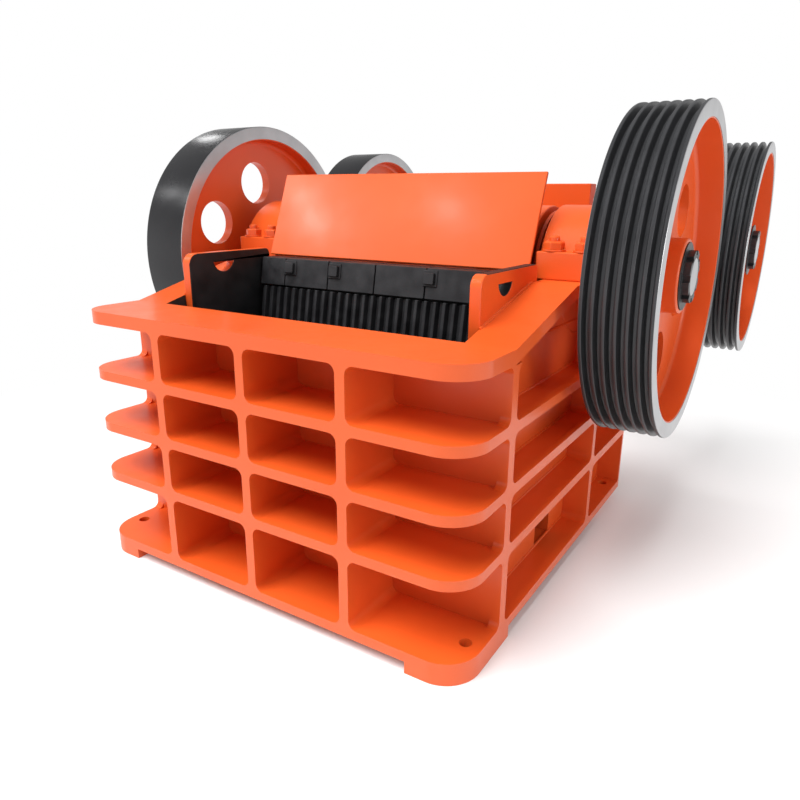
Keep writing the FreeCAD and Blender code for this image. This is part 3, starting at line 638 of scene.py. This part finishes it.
# ---- coves and welds -------------------------------------------------------------------------------
def cove_into(bm, start, end, out, up, radius):
    """Concave quarter-round fillet in a corner, from start to end; out and up point away from it."""
    out = Vector(out)
    up = Vector(up)
    centre = out * radius + up * radius
    section = [Vector((0, 0, 0)) - (out + up) * 0.001]
    for step in range(COVE_STEPS + 1):
        angle = math.pi / 2 * step / COVE_STEPS
        section.append(centre - out * radius * math.sin(angle) - up * radius * math.cos(angle))
    first = [bm.verts.new(Vector(start) + point) for point in section]
    last = [bm.verts.new(Vector(end) + point) for point in section]
    count = len(section)
    for index in range(count):
        after = (index + 1) % count
        bm.faces.new((first[index], first[after], last[after], last[index]))
    bm.faces.new(first)
    bm.faces.new(last)


def levels():
    """Floor and ceiling of each row of cells."""
    solid = frame["nodes"]["front_shelves"].data
    heights = sorted({round(v.co.z, 4) for v in solid.vertices})
    tops = [heights[0]]
    for height in heights:
        if height - tops[-1] > SHELF_T / 2:
            tops.append(height)
    edges = [base_high.z] + tops + [flange_low.z]
    return list(zip(edges[0::2], edges[1::2]))


def corner_fillets():
    """Rounded corners where the ends of the front wall meet the shelves, in front and behind."""
    bm = bmesh.new()
    outer = wall_high.x
    for bottom, ceiling in levels():
        for z, up in ((bottom, 1), (ceiling, -1)):
            for x0, x1 in ((-outer, -outer + FILLET_L), (outer - FILLET_L, outer)):
                cove_into(bm, (x0, wall_low.y, z), (x1, wall_low.y, z), (0, -1, 0), (0, 0, up), FILLET_R)
                cove_into(bm, (x0, wall_high.y, z), (x1, wall_high.y, z), (0, 1, 0), (0, 0, up), FILLET_R)
    return mesh_from(bm, "corner_fillets")


def whole_faces(mesh):
    """Join the split triangles of a CAD mesh into whole faces."""
    bm = bmesh.new()
    bm.from_mesh(mesh)
    bmesh.ops.remove_doubles(bm, verts=bm.verts, dist=MERGE)
    bmesh.ops.dissolve_limit(bm, angle_limit=FLAT_ANGLE, verts=bm.verts, edges=bm.edges)
    bm.to_mesh(mesh)
    bm.free()
    return mesh


def frame_skin():
    """One skin over the frame's plates, which blend where they are welded; its inside is painted near-black
    as painted shade for the chamber.
    """
    operands = bpy.data.collections.new("frame_plates")
    meshes = [whole_faces(frame["nodes"][node].data.copy()) for node in WELDED_NODES]
    meshes.append(corner_fillets())
    solids = [bpy.data.objects.new("plate", mesh) for mesh in meshes]
    first = solids[0]
    bpy.context.scene.collection.objects.link(first)
    for solid in solids[1:]:
        operands.objects.link(solid)
    bpy.context.scene.collection.children.link(operands)
    join = first.modifiers.new("join", "BOOLEAN")
    join.operation = "UNION"
    join.operand_type = "COLLECTION"
    join.collection = operands
    join.solver = "EXACT"
    joined = bpy.data.meshes.new_from_object(first.evaluated_get(bpy.context.evaluated_depsgraph_get()))
    for solid in solids:
        bpy.data.objects.remove(solid)
    bpy.data.collections.remove(operands)
    joined.name = "frame_skin"
    joined.materials.clear()
    skin = piece("frame_skin", whole_faces(joined), "frame", "orange_paint", orange, chamber_shade)
    half_room = backing_high.x + SKIN_MARGIN
    room_front = wall_high.y - SKIN_MARGIN
    room_rear = rear_wall_low.y + SKIN_MARGIN
    # Faces inside the chamber get painted shade.
    for polygon in joined.polygons:
        x, y, z = polygon.center
        in_chamber_shade = abs(x) < half_room and room_front < y < room_rear and z < flange_low.z
        polygon.material_index = 1 if in_chamber_shade else 0
    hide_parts(*WELDED_NODES)
    soften(skin, 0.003, 3, 30)


def bead_into(bm, start, end, seed):
    """Weld bead: a low rippled round along a corner."""
    start = Vector(start)
    run = Vector(end) - start
    steps = max(2, int(run.length / BEAD_STEP))
    along = run.normalized()
    side = along.orthogonal().normalized()
    other = along.cross(side)
    rings = []
    for step in range(steps + 1):
        place = start + run * step / steps
        swell = 1 + 0.18 * math.sin(step * 2.1) + 0.2 * noise.noise(Vector((step * 0.7, seed, 0)))
        ring = []
        for turn in range(BEAD_SIDES):
            angle = 2 * math.pi * turn / BEAD_SIDES
            out = side * math.cos(angle) + other * math.sin(angle)
            ring.append(bm.verts.new(place + out * BEAD_R * swell))
        rings.append(ring)
    for first, second in zip(rings[:-1], rings[1:]):
        for turn in range(BEAD_SIDES):
            after = (turn + 1) % BEAD_SIDES
            bm.faces.new((first[turn], first[after], second[after], second[turn]))
    bm.faces.new(rings[0])
    bm.faces.new(rings[-1])


def welds():
    """Beads where the side walls meet the shelves, at the rear arms and along the cheek plates."""
    bm = bmesh.new()
    seed = 0
    side = side_high.x
    for bottom, ceiling in levels():
        for sign in (-1, 1):
            for z in (bottom, ceiling):
                seed += 1
                bead_into(bm, (side * sign, wall_high.y + FILLET_R, z), (side * sign, side_high.y, z), seed)
    arm_top = arm_high.z - ARM_BEAD_DROP
    for sign in (-1, 1):
        for along in ARM_BEAD_X:
            seed += 1
            x = (arm_low.x + along) * sign
            bead_into(bm, (x, arm_low.y, arm_low.z), (x, arm_low.y, arm_top), seed)
    start_z = flange_high.z + (cheek_low.y - flange_high.y) * WING_SLOPE
    end_y = flange_high.y + CHEEK_BEAD_RUN
    end_z = flange_high.z + CHEEK_BEAD_RISE
    for sign in (-1, 1):
        seed += 1
        x = cheek_high.x * sign
        bead_into(bm, (x, cheek_low.y, start_z), (x, end_y, end_z), seed)
    piece("weld_beads", mesh_from(bm, "weld_beads"), "frame", "orange_paint", orange)


# ---- stage -----------------------------------------------------------------------------------------
def floor():
    """Pale studio floor that fades to plain white away from the machine: it glows white more and more with
    distance, painted light that washes out the shadows on it.
    """
    bm = bmesh.new()
    bmesh.ops.create_grid(bm, x_segments=1, y_segments=1, size=FLOOR_HALF)
    mesh = mesh_from(bm, "floor")
    material, nodes, links, shader = new_material("pale_floor")
    shader.inputs["Base Color"].default_value = (0.82, 0.812, 0.812, 1)
    shader.inputs["Roughness"].default_value = 0.5
    place = nodes.new("ShaderNodeTexCoord")
    away = nodes.new("ShaderNodeVectorMath")
    away.operation = "LENGTH"
    links.new(place.outputs["Object"], away.inputs[0])
    fade = range_node(nodes, links, away.outputs["Value"], 0.0, 1.0, FLOOR_FADE_START, FLOOR_FADE_END)
    # Painted light: a white glow mixed in with distance, which lightens the machine's shadows on the floor.
    white = nodes.new("ShaderNodeEmission")
    white.inputs["Color"].default_value = (1, 1, 1, 1)
    white.inputs["Strength"].default_value = 1.0
    blend = nodes.new("ShaderNodeMixShader")
    links.new(fade.outputs["Result"], blend.inputs["Fac"])
    links.new(shader.outputs["BSDF"], blend.inputs[1])
    links.new(white.outputs["Emission"], blend.inputs[2])
    links.new(blend.outputs["Shader"], nodes["Material Output"].inputs["Surface"])
    mesh.materials.append(material)
    obj = bpy.data.objects.new("floor", mesh)
    bpy.context.scene.collection.objects.link(obj)


def area_light(name, place, target, size, power):
    data = bpy.data.lights.new(name, "AREA")
    data.shape = "DISK"
    data.size = size
    data.energy = power
    obj = bpy.data.objects.new(name, data)
    obj.location = place
    obj.rotation_euler = (Vector(target) - Vector(place)).to_track_quat("-Z", "Y").to_euler()
    bpy.context.scene.collection.objects.link(obj)


def room_light():
    """White backdrop for the eye, grey light from all round, and reflections brighter near the horizon."""
    world = bpy.data.worlds.new("studio")
    world.use_nodes = True
    nodes = world.node_tree.nodes
    links = world.node_tree.links
    path = nodes.new("ShaderNodeLightPath")
    backdrop = nodes["Background"]
    backdrop.inputs["Color"].default_value = (1, 1, 1, 1)
    backdrop.inputs["Strength"].default_value = 1.0
    room = nodes.new("ShaderNodeBackground")
    room.inputs["Color"].default_value = (1.0, 0.985, 0.975, 1)
    room.inputs["Strength"].default_value = ROOM_LEVEL
    sky = nodes.new("ShaderNodeTexCoord")
    height = nodes.new("ShaderNodeSeparateXYZ")
    links.new(sky.outputs["Generated"], height.inputs["Vector"])
    level = range_node(
        nodes, links, height.outputs["Z"], HORIZON_LEVEL, MIRRORED_LEVEL, HORIZON_LOW, HORIZON_HIGH)
    mirrored = nodes.new("ShaderNodeBackground")
    mirrored.inputs["Color"].default_value = (1, 1, 1, 1)
    links.new(level.outputs["Result"], mirrored.inputs["Strength"])
    unseen = nodes.new("ShaderNodeMixShader")
    links.new(path.outputs["Is Glossy Ray"], unseen.inputs["Fac"])
    links.new(room.outputs["Background"], unseen.inputs[1])
    links.new(mirrored.outputs["Background"], unseen.inputs[2])
    seen = nodes.new("ShaderNodeMixShader")
    links.new(path.outputs["Is Camera Ray"], seen.inputs["Fac"])
    links.new(unseen.outputs["Shader"], seen.inputs[1])
    links.new(backdrop.outputs["Background"], seen.inputs[2])
    links.new(seen.outputs["Shader"], nodes["World Output"].inputs["Surface"])
    bpy.context.scene.world = world


def sun_light(towards, strength, width):
    """Broad soft sun without a reflection; towards points from the object to it."""
    data = bpy.data.lights.new("sun", "SUN")
    data.energy = strength
    data.angle = math.radians(width)
    obj = bpy.data.objects.new("sun", data)
    obj.rotation_euler = Vector(towards).to_track_quat("Z", "Y").to_euler()
    obj.visible_glossy = False
    bpy.context.scene.collection.objects.link(obj)


def glint(name, point, normal, size, power):
    """Small lamp placed so that its reflection shows at a point of a shiny surface."""
    point = Vector(point)
    normal = Vector(normal).normalized()
    to_eye = (EYE - point).normalized()
    away = normal * (2 * normal.dot(to_eye)) - to_eye
    area_light(name, point + away * GLINT_DISTANCE, point, size, power)


def lights():
    room_light()
    sun_light(SUN_TOWARDS, SUN_STRENGTH, SUN_WIDTH)
    area_light("right_panel", RIGHT_PANEL_PLACE, RIGHT_PANEL_TARGET, RIGHT_PANEL_SIZE, RIGHT_PANEL_POWER)
    guard_rise = guard_high.z - guard_low.z
    guard_run = guard_high.y - guard_low.y
    facing = (0, -guard_rise, guard_run)
    for index, (x, up) in enumerate(GUARD_GLINTS):
        point = (x, guard_low.y + guard_run * up, guard_low.z + guard_rise * up)
        glint("guard_glint_%d" % index, point, facing, GUARD_GLINT_SIZE, GUARD_GLINT_POWER)
    low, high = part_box("plain_flywheel")
    centre = (low + high) / 2
    radius = (high.z - low.z) / 2
    for index, degrees in enumerate(TREAD_GLINTS):
        out = Vector((0, -math.cos(math.radians(degrees)), math.sin(math.radians(degrees))))
        glint("tread_glint_%d" % index, centre + out * radius, out, TREAD_GLINT_SIZE, TREAD_GLINT_POWER)


def camera():
    """Camera in front, to the right and above, a little tilted."""
    data = bpy.data.cameras.new("camera")
    data.lens = EYE_LENS
    data.sensor_width = 36.0
    data.clip_end = 200
    obj = bpy.data.objects.new("camera", data)
    yaw = Matrix.Rotation(EYE_YAW, 4, "Z")
    pitch = Matrix.Rotation(math.pi / 2 - EYE_PITCH, 4, "X")
    roll = Matrix.Rotation(EYE_ROLL, 4, "Z")
    obj.matrix_world = Matrix.Translation(EYE) @ yaw @ pitch @ roll
    bpy.context.scene.collection.objects.link(obj)
    bpy.context.scene.camera = obj


dress_frame()
all_wheels()
bearing_bolts("bearing_bolts", cap_low, cap_high, CAP_FOOT_H)
bearing_bolts("rear_bearing_bolts", rear_cap_low, rear_cap_high, REAR_CAP_FOOT_H)
block_bolts()
frame_skin()
welds()
floor()
lights()
camera()
bpy.context.scene.view_settings.view_transform = "Standard"
